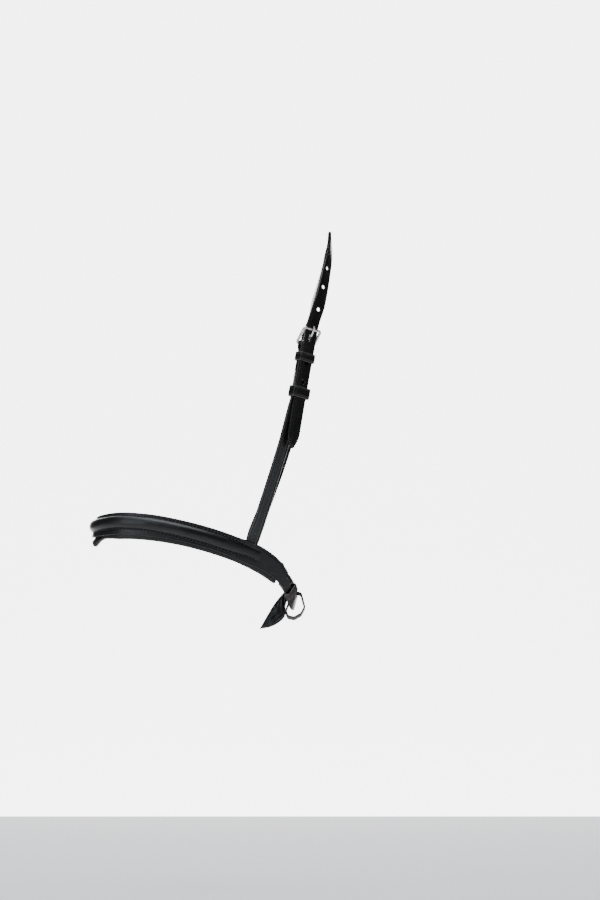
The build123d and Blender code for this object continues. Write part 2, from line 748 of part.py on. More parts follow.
def leaf_face(inset):
    # the leaf runs down its x axis to the tip; y is to the nose side
    with BuildLine() as rim:
        Spline((inset, 2.8 - 2 * inset), (20, 3.0 - inset), (28, 2.0 - inset), (leaf_length - 3.5 * inset, -0.8))
        Spline((leaf_length - 3.5 * inset, -0.8), (38.4, -8.5 + inset), (29.8, -12.2 + inset), (20.5, -12.6 + inset))
        Spline((20.5, -12.6 + inset), (13, -7.4 + inset), (6, -4.4 + inset), (inset, -2.4 + inset))
        Line((inset, -2.4 + inset), (inset, 2.8 - 2 * inset))
    make_face(rim.edges())


with BuildPart() as chin_pad_cover:
    with BuildSketch(leaf_plane):
        leaf_face(0)
    extrude(amount=pad_leaf_thick)
    with BuildSketch(leaf_plane.offset(leaf_wall)):
        leaf_face(leaf_wall)
    extrude(amount=pad_leaf_thick - 2 * leaf_wall, mode=Mode.SUBTRACT)

with BuildPart() as chin_pad_filling:
    with BuildSketch(leaf_plane.offset(leaf_wall + 0.05)):
        leaf_face(leaf_wall + 0.05)
    extrude(amount=pad_leaf_thick - 2 * leaf_wall - 0.1)

pieces = {
    "jaw_strap": jaw_strap,
    "jaw_chape": jaw_chape,
    "jaw_buckle_frame": jaw_buckle_frame,
    "jaw_buckle_tongue": jaw_buckle_tongue,
    "tail_keeper_front": tail_keeper_front,
    "tail_keeper_back": tail_keeper_back,
    "jaw_edge_keeper": jaw_edge_keeper,
    "chin_pad_loop": chin_pad_loop,
    "chin_pad_cover": chin_pad_cover,
    "chin_pad_filling": chin_pad_filling,
    "nose_cover": nose_cover,
    "nose_roll_core": nose_roll_core,
    "nose_base_strap": nose_base_strap,
    "nose_pad_cover": nose_pad_cover,
    "nose_pad_foam": nose_pad_foam,
    "cheek_strap": cheek_strap,
    "sliphead_strap": sliphead_strap,
    "cheek_buckle_frame": cheek_buckle_frame,
    "cheek_buckle_tongue": cheek_buckle_tongue,
    "cheek_fixed_keeper": cheek_fixed_keeper,
    "cheek_runner_keeper": cheek_runner_keeper,
}
os.makedirs("parts", exist_ok=True)
for name, piece in pieces.items():
    piece.part.label = name
    export_step(piece.part, f"parts/{name}.step")
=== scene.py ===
import math
import random

import bmesh
import bpy
from mathutils import Matrix, Vector


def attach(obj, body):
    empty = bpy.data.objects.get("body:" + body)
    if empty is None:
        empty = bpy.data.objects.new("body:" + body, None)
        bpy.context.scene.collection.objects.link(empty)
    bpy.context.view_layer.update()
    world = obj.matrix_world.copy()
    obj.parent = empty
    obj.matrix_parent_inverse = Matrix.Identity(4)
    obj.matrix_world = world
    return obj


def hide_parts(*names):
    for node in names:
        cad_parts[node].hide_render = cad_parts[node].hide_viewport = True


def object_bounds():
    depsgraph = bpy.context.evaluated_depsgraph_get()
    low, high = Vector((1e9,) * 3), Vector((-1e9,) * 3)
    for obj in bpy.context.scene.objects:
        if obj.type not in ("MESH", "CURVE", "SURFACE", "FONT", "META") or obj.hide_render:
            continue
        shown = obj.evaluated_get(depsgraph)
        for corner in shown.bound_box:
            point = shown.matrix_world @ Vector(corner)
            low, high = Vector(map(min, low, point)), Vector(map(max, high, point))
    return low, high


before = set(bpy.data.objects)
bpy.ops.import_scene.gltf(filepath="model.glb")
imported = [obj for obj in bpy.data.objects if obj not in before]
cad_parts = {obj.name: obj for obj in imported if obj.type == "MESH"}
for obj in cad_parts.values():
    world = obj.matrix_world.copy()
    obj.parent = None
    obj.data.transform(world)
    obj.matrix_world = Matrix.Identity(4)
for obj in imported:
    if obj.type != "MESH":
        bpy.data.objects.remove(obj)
cadLow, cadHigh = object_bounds()
mm = 0.001

# Raised padded noseband on its sliphead. Places below are in millimetres from the crown fold.

# camera and floor
view = {"place": (-95, -4060, -322.8), "aim": (-31, -60, -222.8), "lens": 160, "floorDrop": 270}

camera = bpy.data.objects.new("camera", bpy.data.cameras.new("camera"))
bpy.context.scene.collection.objects.link(camera)
camera.data.lens = view["lens"]
camera.data.sensor_width = 36
camera.data.clip_end = 60
camera.location = Vector((view["place"][0], view["place"][1], view["place"][2])) * mm
camera.data.shift_x = (view["aim"][0] - view["place"][0]) / 900
camera.data.shift_y = (view["aim"][2] - view["place"][2]) / 900
camera.rotation_euler = (math.radians(90), 0, 0)
bpy.context.scene.camera = camera


def addMesh(name, bm, smooth=True):
    mesh = bpy.data.meshes.new(name)
    bm.to_mesh(mesh)
    bm.free()
    obj = bpy.data.objects.new(name, mesh)
    bpy.context.scene.collection.objects.link(obj)
    if smooth:
        mesh.shade_smooth()
    return obj


# shader helpers
class Value:
    def __init__(self, shader, socket):
        self.shader = shader
        self.socket = socket

    def join(self, operation, *values):
        return self.shader.node("ShaderNodeMath", {"operation": operation}, dict(enumerate(values)))

    def __add__(self, other):
        return self.join("ADD", self, other)

    def __sub__(self, other):
        return self.join("SUBTRACT", self, other)

    def __mul__(self, other):
        return self.join("MULTIPLY", self, other)

    def __rsub__(self, other):
        return self.join("SUBTRACT", other, self)

    __radd__ = __add__
    __rmul__ = __mul__

    def between(self, low, high):
        return self.shader.node("ShaderNodeMapRange", {"interpolation_type": "SMOOTHSTEP"},
                                {0: self, 1: low, 2: high, 3: 0.0, 4: 1.0})


class Shader:
    def __init__(self, name):
        self.material = bpy.data.materials.new(name)
        self.material.use_nodes = True
        self.tree = self.material.node_tree
        self.surface = self.tree.nodes["Principled BSDF"]

    def node(self, kind, settings, values, output=0):
        made = self.tree.nodes.new(kind)
        stops = settings.pop("stops", None)
        for key, value in settings.items():
            setattr(made, key, value)
        if stops:
            while len(made.color_ramp.elements) < len(stops):
                made.color_ramp.elements.new(0.5)
            for element, (position, colour) in zip(made.color_ramp.elements, stops):
                element.position = position
                element.color = (*colour, 1)
        for key, value in values.items():
            self.feed(made.inputs[key], value)
        return Value(self, made.outputs[output])

    def feed(self, socket, value):
        if isinstance(value, Value):
            self.tree.links.new(value.socket, socket)
        else:
            socket.default_value = value

    def set(self, **values):
        for key, value in values.items():
            self.feed(self.surface.inputs[key.replace("_", " ")], value)

    def place(self, source="Object"):
        return self.node("ShaderNodeTexCoord", {}, {}, source)

    def noise(self, place, scale, detail=3.0):
        return self.node("ShaderNodeTexNoise", {}, {"Vector": place, "Scale": scale, "Detail": detail})

    def cells(self, place, scale):
        return self.node("ShaderNodeTexVoronoi", {"feature": "SMOOTH_F1"},
                         {"Vector": place, "Scale": scale, "Smoothness": 0.6})

    def mix(self, factor, first, second):
        return self.node("ShaderNodeMix", {"data_type": "RGBA"}, {0: factor, 6: first, 7: second}, 2)

    def bump(self, height, distance, strength=1.0, under=None):
        values = {"Height": height, "Distance": distance, "Strength": strength}
        if under:
            values["Normal"] = under
        return self.node("ShaderNodeBump", {}, values)


def leather(name, dark, light, rough, grain, wear=0.0):
    shader = Shader(name)
    place = shader.place()
    cloud = shader.noise(place, 38.0, 4.0)
    fine = shader.noise(place, 900.0, 2.0)
    pebble = shader.cells(place, 760.0)
    shade = (cloud * 0.7 + fine * 0.3).between(0.3, 0.72)
    # painted highlight: the rim attribute lightens the base colour along strap edges and creased lines, varied
    # by the cloud noise
    rimHighlightAndHoleAim = shader.node("ShaderNodeAttribute", {"attribute_name": "rim"}, {}, 2)
    rimHighlightAndHoleAim = (rimHighlightAndHoleAim * (cloud * 0.6 + 0.55)).between(0.1, 1.15)
    plain = shader.mix(shade, (*dark, 1), (*light, 1))
    shader.set(Base_Color=shader.mix(rimHighlightAndHoleAim, plain, (*[c * 9 + 0.035 for c in light], 1)))
    shader.set(Roughness=cloud * 0.16 + fine * 0.1 + (rough - 0.13))
    broad = shader.bump(shader.noise(place, 160.0, 3.0), 0.0004, 0.35)
    shader.set(Normal=shader.bump(pebble + fine * 0.4, grain, 0.5, broad))
    shader.set(Coat_Weight=cloud * 0.2 + wear)
    shader.surface.inputs["Coat Roughness"].default_value = 0.28
    shader.surface.inputs["Specular IOR Level"].default_value = 0.42
    return shader.material


looks = {
    "strap": ((0.0022, 0.0021, 0.0022), (0.006, 0.0056, 0.0056), 0.27, 0.00005),
    "roll": ((0.0022, 0.0023, 0.0027), (0.0055, 0.0056, 0.0064), 0.4, 0.00005),
    "lining": ((0.003, 0.0026, 0.0024), (0.008, 0.0066, 0.0056), 0.5, 0.00008),
    "jaw": ((0.0045, 0.003, 0.0024), (0.012, 0.0078, 0.0056), 0.38, 0.00006),
    "pad": ((0.0028, 0.0027, 0.003), (0.0075, 0.0072, 0.0078), 0.32, 0.00008),
}
strapLeather = leather("strapLeather", *looks["strap"])
rollLeather = leather("rollLeather", *looks["roll"])
liningLeather = leather("liningLeather", *looks["lining"])
jawLeather = leather("jawLeather", *looks["jaw"])
padLeather = leather("padLeather", *looks["pad"])

threadShader = Shader("stitchThread")
threadPlace = threadShader.place()
threadTwist = threadShader.noise(threadPlace, 1500.0, 2.0)
threadShader.set(Base_Color=threadShader.mix(threadTwist, (0.02, 0.021, 0.024, 1), (0.075, 0.075, 0.08, 1)))
threadShader.set(Roughness=threadTwist * 0.2 + 0.4)

metalShader = Shader("buckleMetal")
metalPlace = metalShader.place()
metalSmear = metalShader.noise(metalPlace, 120.0, 3.0)
metalShader.set(Base_Color=metalShader.mix(metalSmear, (0.62, 0.55, 0.52, 1), (0.8, 0.76, 0.74, 1)))
metalShader.set(Roughness=metalSmear * 0.12 + 0.1)
metalShader.surface.inputs["Metallic"].default_value = 1.0
print("materials made")


# curves and lofts
def ease(share):
    share = min(1.0, max(0.0, share))
    return share * share * (3 - 2 * share)


def unit(vector):
    return Vector(vector).normalized()


def through(knots, values, at):
    # a smooth line through values (numbers or vectors) at their knots
    last = len(knots) - 1
    at = min(max(at, knots[0]), knots[-1])
    i = max(k for k in range(last) if knots[k] <= at)
    span = knots[i + 1] - knots[i]

    def slope(k):
        if k == 0 or k == last:
            j = min(k, last - 1)
            return (values[j + 1] - values[j]) / (knots[j + 1] - knots[j])
        before = (values[k] - values[k - 1]) / (knots[k] - knots[k - 1])
        after = (values[k + 1] - values[k]) / (knots[k + 1] - knots[k])
        share = (knots[k] - knots[k - 1]) / (knots[k + 1] - knots[k - 1])
        return before * (1 - share) + after * share

    t = (at - knots[i]) / span
    return (values[i] * (2 * t ** 3 - 3 * t * t + 1) + slope(i) * (span * (t ** 3 - 2 * t * t + t))
            + values[i + 1] * (3 * t * t - 2 * t ** 3) + slope(i + 1) * (span * (t ** 3 - t * t)))


def heightOn(edge, along):
    return through([p[0] for p in edge], [p[1] for p in edge], along)


def loft(name, rings, closed=False, material=None, rim=None):
    # rings of places in millimetres, joined one after another; open ends are filled
    around = len(rings[0])
    if closed:
        rings = rings + [rings[0]]
    bm = bmesh.new()
    uvs = bm.loops.layers.uv.new("place")
    rimHighlightLayer = bm.verts.layers.float.new("rim")
    bmesh.ops.create_grid(bm, x_segments=around, y_segments=len(rings) - 1, size=1)
    bm.verts.ensure_lookup_table()
    wide = [0.0]
    for k in range(around):
        wide.append(wide[-1] + (rings[len(rings) // 2][(k + 1) % around] - rings[len(rings) // 2][k]).length)
    far = [0.0]
    for k in range(1, len(rings)):
        far.append(far[-1] + (rings[k][0] - rings[k - 1][0]).length)
    for vertex in bm.verts:
        row, column = divmod(vertex.index, around + 1)
        vertex.co = rings[row][column % around] * mm
        # each point keeps its painted highlight share from rim
        vertex[rimHighlightLayer] = rim[column % around] if rim else 0.0
    for face in bm.faces:
        for corner in face.loops:
            row, column = divmod(corner.vert.index, around + 1)
            corner[uvs].uv = (wide[column] * mm, far[row] * mm)
    bmesh.ops.remove_doubles(bm, verts=bm.verts, dist=1e-7)
    if not closed:
        rim = [e for e in bm.edges if e.is_boundary]
        filled = bmesh.ops.holes_fill(bm, edges=rim, sides=0)["faces"]
        for face in filled:
            for edge in face.edges:
                edge.smooth = False
    bmesh.ops.recalc_face_normals(bm, faces=bm.faces)
    obj = addMesh(name, bm)
    if material:
        obj.data.materials.append(material)
    return obj


def strapProfile(width, thick, crease=2.5, depth=0.5, edge=0.75):
    # half of a strap's section as (across, out), from the middle of its face to the middle of its back
    half, top = width / 2, thick / 2
    crease = min(crease, half * 0.35)
    depth = depth * min(1.0, half / 4)
    edge = min(edge, half * 0.4, thick * 0.46)
    valley = half - crease
    points = [(half * 0.25, top), (valley - 1.0, top - 0.02), (valley - 0.6, top - depth * 0.12)]
    points += [(valley - 0.3, top - depth * 0.42), (valley, top - depth), (valley + 0.2, top - depth * 0.55)]
    points += [(valley + 0.5, top - depth * 0.14), (valley + 0.8, top)]
    for turn in (88, 72, 56, 40, 24, 6):
        points.append((half - edge + edge * math.cos(math.radians(turn)),
                       top - 0.03 - edge + edge * math.sin(math.radians(turn))))
    back = edge * 0.7
    for turn in (-8, -45, -90):
        points.append((half - back + back * math.cos(math.radians(turn)),
                       back - top + back * math.sin(math.radians(turn))))
    points.append((half * 0.4, -top))
    return points


def wholeProfile(points):
    return [(x, y) for x, y in points] + [(-x, y) for x, y in reversed(points)]


def rimHighlightShares(width, profile, crease):
    # painted highlight: how much lighter colour the edge and the creased line of the front face get
    shares = []
    for x, y in profile:
        inside = width / 2 - abs(x)
        share = math.exp(-((inside - 0.5) / 0.5) ** 2) + 0.7 * math.exp(-((inside - crease - 0.7) / 0.4) ** 2)
        shares.append(share if y > 0 else 0.0)
    return shares


def ribbon(name, stations, material, closed=False, crease=2.5, depth=0.5, edge=1.25):
    # stations: middle, heading, outward, width, thickness
    rings = []
    for middle, heading, outward, width, thick in stations:
        outward = unit(outward - heading * outward.dot(heading))
        across = outward.cross(heading)
        profile = wholeProfile(strapProfile(width, thick, crease, depth, edge))
        rings.append([middle + across * x + outward * y for x, y in profile])
    return loft(name, rings, closed, material, rimHighlightShares(stations[len(stations) // 2][3], profile, crease))


def cutWith(obj, cutters):
    for cutter in cutters:
        cut = obj.modifiers.new("cut", "BOOLEAN")
        cut.operation = "DIFFERENCE"
        cut.solver = "EXACT"
        cut.object = cutter
    bpy.context.view_layer.update()
    made = bpy.data.meshes.new_from_object(obj.evaluated_get(bpy.context.evaluated_depsgraph_get()))
    obj.modifiers.clear()
    old, obj.data = obj.data, made
    bpy.data.meshes.remove(old)
    for cutter in cutters:
        bpy.data.objects.remove(cutter)


def punch(middle, outward, upward, width, height, reach=9.0):
    # a round or slot shaped cutter that goes through a strap
    outward = unit(outward)
    upward = unit(upward - outward * upward.dot(outward))
    side = upward.cross(outward)
    rings = []
    for depth in (-reach, reach):
        ring = []
        for k in range(28):
            turn = 2 * math.pi * k / 28
            lift = (height - width) / 2 * (1 if math.sin(turn) > 0 else -1)
            ring.append(middle + outward * depth + side * (width / 2 * math.cos(turn))
                        + upward * (width / 2 * math.sin(turn) + lift))
        rings.append(ring)
    return loft("cutter", rings)


def finishPiece(obj, body, slotName, *nodes):
    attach(obj, body)
    if nodes:
        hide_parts(*nodes)
    return obj


# plan oval of the band
oval = {"noseRadius": 52.0, "jawRadius": 34.0, "depth": 216.0, "halfWidth": 62.0, "tilt": 14.0}
bandCentre = Vector((-133.2, 0, -322.2))
noseMiddle = oval["noseRadius"] - oval["depth"] / 2
jawMiddle = oval["depth"] / 2 - oval["jawRadius"]


def sideSpan(radius, end):
    return math.sqrt((oval["halfWidth"] - end) * (2 * radius - end - oval["halfWidth"]))


short, long = oval["halfWidth"], 4 * oval["depth"]
for _ in range(60):
    sideRadius = (short + long) / 2
    spans = sideSpan(sideRadius, oval["noseRadius"]) + sideSpan(sideRadius, oval["jawRadius"])
    if spans > jawMiddle - noseMiddle:
        long = sideRadius
    else:
        short = sideRadius
sideMiddle = noseMiddle + sideSpan(sideRadius, oval["noseRadius"])
sideReach = sideRadius - oval["halfWidth"]
noseTurn = math.degrees(math.atan2(sideReach, noseMiddle - sideMiddle))
jawTurn = math.degrees(math.atan2(sideReach, jawMiddle - sideMiddle))
tilt = math.radians(oval["tilt"])
alongAxis = Vector((math.cos(tilt), 0, -math.sin(tilt)))
upAxis = Vector((math.sin(tilt), 0, math.cos(tilt)))
acrossAxis = Vector((0, 1, 0))


def ovalPoint(angle, offset=0.0):
    turn = abs(angle)
    middle, height, radius = sideMiddle, -sideReach, sideRadius
    if turn > noseTurn:
        middle, height, radius = noseMiddle, 0, oval["noseRadius"]
    if turn < jawTurn:
        middle, height, radius = jawMiddle, 0, oval["jawRadius"]
    along = middle + (radius + offset) * math.cos(math.radians(turn))
    across = height + (radius + offset) * math.sin(math.radians(turn))
    return along, across if angle >= 0 else -across


def ovalAngle(along):
    low, high = 0.0, 180.0
    for _ in range(40):
        turn = (low + high) / 2
        if ovalPoint(turn)[0] > along:
            low = turn
        else:
            high = turn
    return low


jawRun = oval["jawRadius"] * math.radians(jawTurn)
sideRun = sideRadius * math.radians(noseTurn - jawTurn)
halfRun = jawRun + sideRun + oval["noseRadius"] * math.radians(180 - noseTurn)


def angleAfter(distance):
    # signed angle of the outward normal: minus on the near side, from the jaw round the nose
    if distance > halfRun:
        return -angleAfter(2 * halfRun - distance)
    if distance > jawRun + sideRun:
        return -noseTurn - math.degrees((distance - jawRun - sideRun) / oval["noseRadius"])
    if distance > jawRun:
        return -jawTurn - math.degrees((distance - jawRun) / sideRadius)
    return -math.degrees(distance / oval["jawRadius"])


def distanceAt(along):
    turn = ovalAngle(along)
    if turn > noseTurn:
        return jawRun + sideRun + oval["noseRadius"] * math.radians(turn - noseTurn)
    if turn > jawTurn:
        return jawRun + sideRadius * math.radians(turn - jawTurn)
    return oval["jawRadius"] * math.radians(turn)


def bandVector(along, across, up):
    return alongAxis * along + acrossAxis * across + upAxis * up


def bandPlace(angle, offset, up):
    along, across = ovalPoint(angle, offset)
    return bandCentre + bandVector(along, across, up)


def bandOut(angle):
    return bandVector(math.cos(math.radians(angle)), math.sin(math.radians(angle)), 0)


topEdge = ((-118, 1), (-106, 8.5), (-94, 14.2), (-63, 21.6), (-20, 24.7), (35, 21.8), (69, 15.7), (88, 5.2),
           (97, -4.5))
lowEdge = ((-118, -19), (-107, -14), (-89, -7), (-50, 1), (0, 3.6), (27, 1.9), (54, -2.6), (71, -5.6), (82, -10),
           (97, -19.5))
padTopEdge = ((-118, 4), (-98, 9), (-80, 15), (-50, 20.5), (0, 22.8), (35, 20), (69, 13.5), (86.5, 5.5))
padLowEdge = ((-118, -17), (-108, -20.5), (-105.4, -22.6), (-103.2, -18.5), (-100.5, -13.8), (-96, -11.8),
              (-86, -9.9), (-73, -6.9), (-25, -0.8), (8, -0.6),
              (50, -4.9), (70, -9.7), (86.5, -15.6))
jawTopEdge = ((8, 19.5), (40, 17.5), (60, 13), (75, 7.5), (88, 1.2), (98, -7.5), (105, -17.8), (109, -25))
jawLowEdge = ((8, 6.5), (40, 4.5), (60, -0.5), (72, -4.8), (85, -11.5), (93.5, -17.2),
              (101, -24.5), (104.8, -31),
              (109, -38.5))

# noseband cover with its raised roll
cover = {"thick": 1.4, "rollRise": 5.0, "rollWidth": 13.2, "rollMargin": 3.4, "rollNearEnd": 60, "rollOffEnd": 4,
         "rollFade": 40, "nearEnd": 94, "offEnd": 62, "stitchPitch": 3.7, "seamDepth": 0.5,
         "edgeRound": 0.7, "creaseAt": 2.0, "creaseDepth": 0.26, "creaseWidth": 0.3}
rollFirst = distanceAt(cover["rollNearEnd"])
rollLast = 2 * halfRun - distanceAt(cover["rollOffEnd"])


def rollAt(distance, along):
    fade = ease(min(distance - rollFirst, rollLast - distance) / cover["rollFade"])
    inside = ease((min(distance - rollFirst, rollLast - distance) + 3) / 6)
    crest = cover["rollRise"] * (0.3 + 0.7 * fade) * inside
    half = cover["rollWidth"] / 2 * (0.7 + 0.3 * fade)
    middle = heightOn(topEdge, along) - cover["rollMargin"] - cover["rollWidth"] / 2
    return middle, half, crest, inside


def coverFace(up, low, top, roll, wave):
    # how far the front face stands out at a height on the band
    middle, half, crest, inside = roll
    away = abs(up - middle)
    out = 0.0
    if away < half:
        share = away / half
        out = crest * (1 - share ** 2.3) ** 0.62 + wave * (1 - share)
    groove = cover["seamDepth"] * math.exp(-((away - half - 0.1) / 0.55) ** 2) * inside
    edge = min(up - low, top - up)
    rounding = cover["edgeRound"]
    if edge < rounding:
        out -= rounding - math.sqrt(max(0.0, rounding ** 2 - (rounding - edge) ** 2))
    out -= cover["creaseDepth"] * math.exp(-((edge - cover["creaseAt"]) / cover["creaseWidth"]) ** 2)
    return out - groove


def coverRing(distance):
    angle = angleAfter(distance)
    along = ovalPoint(angle)[0]
    low, top = heightOn(lowEdge, along), heightOn(topEdge, along)
    roll = rollAt(distance, along)
    middle, half = roll[0], roll[1]
    wave = 0.1 * math.sin(distance * 0.21) + 0.06 * math.sin(distance * 0.53 + 1)
    ups = [low, low + 0.12, low + 0.4, low + 0.9, low + 1.6, low + 2.0, low + 2.4, low + 3.0]
    first = middle - half
    ups += [first - 1.3, first - 0.7, first - 0.35, first - 0.1, first + 0.02]
    ups += [middle - half * math.cos(math.radians(turn)) for turn in range(12, 180, 12)]
    last = middle + half
    ups += [last - 0.02, last + 0.1, last + 0.35, last + 0.7]
    ups += [top - 2.4, top - 2.0, top - 1.6, top - 0.9, top - 0.4, top - 0.12, top]
    ups = sorted(min(max(up, low), top) for up in ups)
    ring = [bandPlace(angle, coverFace(up, low, top, roll, wave), up) for up in ups]
    return ring + [bandPlace(angle, -cover["thick"], up) for up in (top, (low + top) / 2, low)]


coverFirst = distanceAt(cover["nearEnd"])
coverLast = 2 * halfRun - distanceAt(cover["offEnd"])
steps = 260
coverSpots = [coverFirst + (coverLast - coverFirst) * k / steps for k in range(steps + 1)]
noseCover = loft("noseCover", [coverRing(d) for d in coverSpots], material=rollLeather)
finishPiece(noseCover, "noseband", "black_leather", "nose_cover", "nose_roll_core")
print("nose cover made")


def stitchRow(name, spots, body, slant=28, length=2.7, girth=0.5):
    # spots: middle, heading, outward; each stitch is a slanted thread that dips into its two holes
    random.seed(7)
    bm = bmesh.new()
    for middle, heading, outward in spots:
        heading = unit(heading - outward * heading.dot(outward))
        across = outward.cross(heading)
        turn = math.radians(slant + random.uniform(-4, 4))
        run = heading * math.cos(turn) + across * math.sin(turn)
        side = outward.cross(run)
        made = bmesh.ops.create_uvsphere(bm, u_segments=6, v_segments=5, radius=1)["verts"]
        for vertex in made:
            x, y, z = vertex.co
            sink = 0.3 * z * z
            vertex.co = (middle + run * (z * length / 2) + side * (x * girth)
                         + outward * (y * girth - sink)) * mm
    obj = addMesh(name, bm)
    obj.data.materials.append(threadShader.material)
    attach(obj, body)
    return obj


def rollStitches(name, side):
    spots = []
    distance = rollFirst + 2
    while distance < rollLast - 2:
        angle = angleAfter(distance)
        roll = rollAt(distance, ovalPoint(angle)[0])
        nextAngle = angleAfter(distance + 1)
        nextRoll = rollAt(distance + 1, ovalPoint(nextAngle)[0])
        here = bandPlace(angle, -0.05, roll[0] + side * (roll[1] + 0.25))
        there = bandPlace(nextAngle, -0.05, nextRoll[0] + side * (nextRoll[1] + 0.25))
        spots.append((here, there - here, bandOut(angle)))
        distance += cover["stitchPitch"]
    return stitchRow(name, spots, "noseband")


rollStitches("rollStitchesTop", 1)
rollStitches("rollStitchesLow", -1)
print("roll stitches made")

# padded lining of the noseband
lining = {"outer": -3.25, "thick": 4.7, "nearEnd": 86.5, "offEnd": 54, "seatAt": 52.5, "endRound": 3.0,
          "endTaper": 2.2, "lipOut": 2.2, "lipFrom": 94, "pocket": 2.75, "pocketReach": 11}


def liningRing(distance, first, last):
    angle = angleAfter(distance)
    along = ovalPoint(angle)[0]
    near = min(distance - first, last - distance)
    tuck = math.sqrt(max(0.0, 1 - (1 - min(1.0, near / lining["endRound"])) ** 2))
    low, top = heightOn(padLowEdge, along), heightOn(padTopEdge, along)
    middle, half = (low + top) / 2, (top - low) / 2
    half -= lining["endTaper"] * (1 - tuck)
    puff = 1 + 0.05 * math.sin(distance * 0.35)
    ring = []
    for k in range(36):
        turn = 2 * math.pi * k / 36
        x, y = math.cos(turn), math.sin(turn)
        up = middle + half * math.copysign(abs(x) ** 0.62, x)
        depth = lining["thick"] / 2 * (0.25 + 0.75 * tuck) * puff
        out = lining["outer"] - lining["thick"] / 2 + depth * 0.97 * math.copysign(abs(y) ** 0.6, y)
        sewn = ease(1 - abs(along - lining["seatAt"]) / lining["pocketReach"]) * ease((up - top + 19) / 4)
        below = ease((heightOn(lowEdge, along) - up) / 4)
        out += lining["lipOut"] * below * ease((-along - lining["lipFrom"]) / 10)
        if y > 0 and along > 0:
            out = min(out, lining["outer"] - 0.03 - lining["pocket"] * sewn)
        ring.append(bandPlace(angle, out, up))
    return ring


liningFirst = distanceAt(lining["nearEnd"])
liningLast = 2 * halfRun - distanceAt(lining["offEnd"])
endSteps = [0.02, 0.25, 0.7, 1.4, 2.3, 3.2]
inner = [4 + (liningLast - liningFirst - 8) * k / 220 for k in range(221)]
liningSpots = endSteps + inner + [liningLast - liningFirst - s for s in reversed(endSteps)]
nosePad = loft("nosePad", [liningRing(liningFirst + s, liningFirst, liningLast) for s in liningSpots],
               material=liningLeather)
finishPiece(nosePad, "noseband", "lining_leather", "nose_pad_cover", "nose_pad_foam")
print("nose pad made")

# cheek plane
heelBar = Vector((-25.9, -42, -116.9))
cheekAcross = Vector((0.80021, 0.56031, -0.21381))
cheekUp = Vector((0.18104, 0.11419, 0.97682))
cheekOut = Vector((0.57174, -0.82037, -0.01007))
strap = {"width": 13.0, "thick": 2.6, "room": 1.5, "shift": 1.3, "billetOut": 5.6, "tail": 106.0, "tip": 17.0,
         "billet": 14.4, "sway": 1.2, "tipSway": 0.5}
holes = {"wide": 4, "open": 3.7, "slotWide": 3.8, "slotLong": 7.0, "used": 7.2, "next": -18.2, "last": -38.52}


def cheekPlace(across, up, out):
    return heelBar + cheekAcross * across + cheekUp * up + cheekOut * out


def seatSpot(side):
    angle = ovalAngle(lining["seatAt"])
    top = heightOn(topEdge, lining["seatAt"])
    return bandPlace(side * angle, -4.55, top), bandOut(side * angle)


def spaced(knots, gap):
    # places closer together than the knots, with the knots themselves among them
    made = [knots[0]]
    for start, end in zip(knots[:-1], knots[1:]):
        count = max(1, math.ceil((end - start) / gap))
        made += [start + (end - start) * k / count for k in range(1, count + 1)]
    return made


def runThrough(places, facings, widths, thicks, gap=3.0):
    # stations on a smooth line through places
    knots = [0.0]
    for before, after in zip(places[:-1], places[1:]):
        knots.append(knots[-1] + (after - before).length)
    stations = []
    ats = spaced(knots, gap)
    middles = [through(knots, places, at) for at in ats]
    for k, at in enumerate(ats):
        heading = unit(middles[min(k + 1, len(ats) - 1)] - middles[max(k - 1, 0)])
        stations.append((middles[k], heading, unit(through(knots, facings, at)), through(knots, widths, at),
                         through(knots, thicks, at)))
    return stations


def eyeStations(place, up, out, inner, thick, width, backRun, backLift):
    # from the front layer round the bar and back down behind it
    stations = []
    radius = inner + thick / 2
    for turn in range(90, -91, -15):
        a = math.radians(turn)
        stations.append((place(math.cos(a) * radius, math.sin(a) * radius), up * math.sin(a) - out * math.cos(a),
                         up * math.cos(a) + out * math.sin(a), width, thick))
    closing = 1 + 2.5 * backLift
    for share in (0.0, 0.12, 0.3, 0.5, 0.7, 0.88, 1.0):
        slope = math.atan2(backLift * 6 * share * (1 - share), closing)
        stations.append((place(-0.8 - closing * share, -radius + backLift * ease(share)),
                         -up * math.cos(slope) + out * math.sin(slope),
                         -out * math.cos(slope) - up * math.sin(slope),
                         width, thick))
    for share in (0.3, 0.65, 0.95, 1.0):
        stations.append((place(-0.8 - closing - (backRun - closing - 0.8) * share, backLift - radius), -up, -out,
                         width, thick - (0.9 if share == 1.0 else 0)))
    return stations


# cheek strap
cheek = {"chape": 28, "slot": 3.6, "slotLength": 13.2, "seatShare": 0.93, "seatThick": 2.5, "seatDepth": 15.0}
seatNear, seatNearOut = seatSpot(-1)
seatOff, seatOffOut = seatSpot(1)
seatDown = unit(Vector((-math.sin(math.radians(17.5)), 0, -math.cos(math.radians(17.5)))))


def seatTail(place, count=5, depth=cheek["seatDepth"]):
    # the end that is sewn between the base strap and the pad, lowest first
    return [place + seatDown * (depth * (count - k) / count) for k in range(count)]


